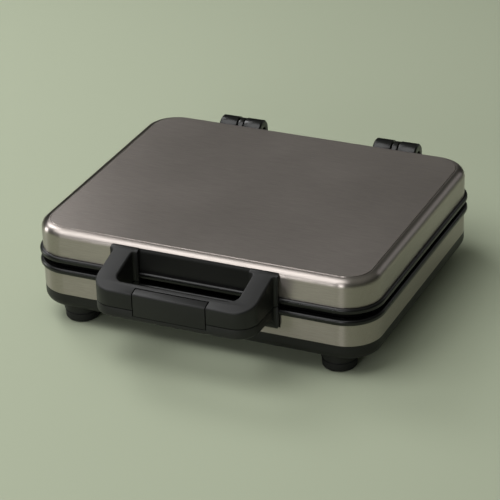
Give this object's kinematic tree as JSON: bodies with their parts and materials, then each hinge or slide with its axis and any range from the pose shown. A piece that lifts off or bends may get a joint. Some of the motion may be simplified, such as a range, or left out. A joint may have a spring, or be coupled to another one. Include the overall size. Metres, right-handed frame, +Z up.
{
  "type": "waffle maker",
  "caption": "Countertop waffle maker with a hinged steel lid, dinosaur-shaped cooking plates, a looped front handle and a clip latch.",
  "frame": {"origin": "bottom centre of the whole machine, on the surface it stands on", "axes": "+Z up, -Y toward the handle, +X to the right of a person facing the handle"},
  "size_m": [0.2748, 0.2904, 0.0791],
  "materials": {
    "brushed_sheet": "brushed along the length",
    "rim_plastic": "semi-gloss",
    "tub_plastic": "fine texture",
    "handle_plastic": "fine grain",
    "latch_plastic": "fine grain",
    "hinge_plastic": "semi-gloss",
    "foot_rubber": "matte",
    "bush_rubber": "matte",
    "plate_coating": "non-stick coated casting",
    "heater_sheath": "drawn tube",
    "shield_sheet": "rolled sheet",
    "phenolic": "moulded",
    "zinc_steel": "zinc plated"
  },
  "bodies": {
    "base": {"base_tub": "tub_plastic", "base_band": "brushed_sheet", "base_rim": "rim_plastic", "lower_plate": "plate_coating", "lower_heater": "heater_sheath", "lower_heat_shield": "shield_sheet", "lower_plate_screws": "zinc_steel", "thermostat": "phenolic", "terminal_block": "phenolic", "cord_bush": "bush_rubber", "handle_lower": "handle_plastic", "handle_lower_screws": "zinc_steel", "hinge_post_left": "hinge_plastic", "hinge_post_right": "hinge_plastic", "hinge_pin_left": "zinc_steel", "hinge_pin_right": "zinc_steel", "hinge_post_screws": "zinc_steel", "foot_front_left": "foot_rubber", "foot_front_right": "foot_rubber", "foot_rear_left": "foot_rubber", "foot_rear_right": "foot_rubber"},
    "lid": {"lid_cover": "brushed_sheet", "lid_liner": "tub_plastic", "lid_rim": "rim_plastic", "upper_plate": "plate_coating", "upper_heater": "heater_sheath", "upper_heat_shield": "shield_sheet", "upper_plate_screws": "zinc_steel", "thermal_fuse": "zinc_steel", "handle_upper": "handle_plastic", "handle_upper_screws": "zinc_steel", "latch_pin": "zinc_steel", "hinge_arm_left": "hinge_plastic", "hinge_arm_right": "hinge_plastic", "hinge_arm_screws": "zinc_steel"},
    "latch": {"latch": "latch_plastic"}
  },
  "joints": [
    {"name": "lid_hinge", "type": "hinge", "parent": "base", "child": "lid", "pos_m": [0, 0.13575, 0.0683], "axis": [-1, 0, 0], "range_deg": [0, 105]},
    {"name": "latch_hinge", "type": "hinge", "parent": "lid", "child": "latch", "pos_m": [0, -0.14015, 0.0612], "axis": [-1, 0, 0], "range_deg": [0, 35]}
  ]
}
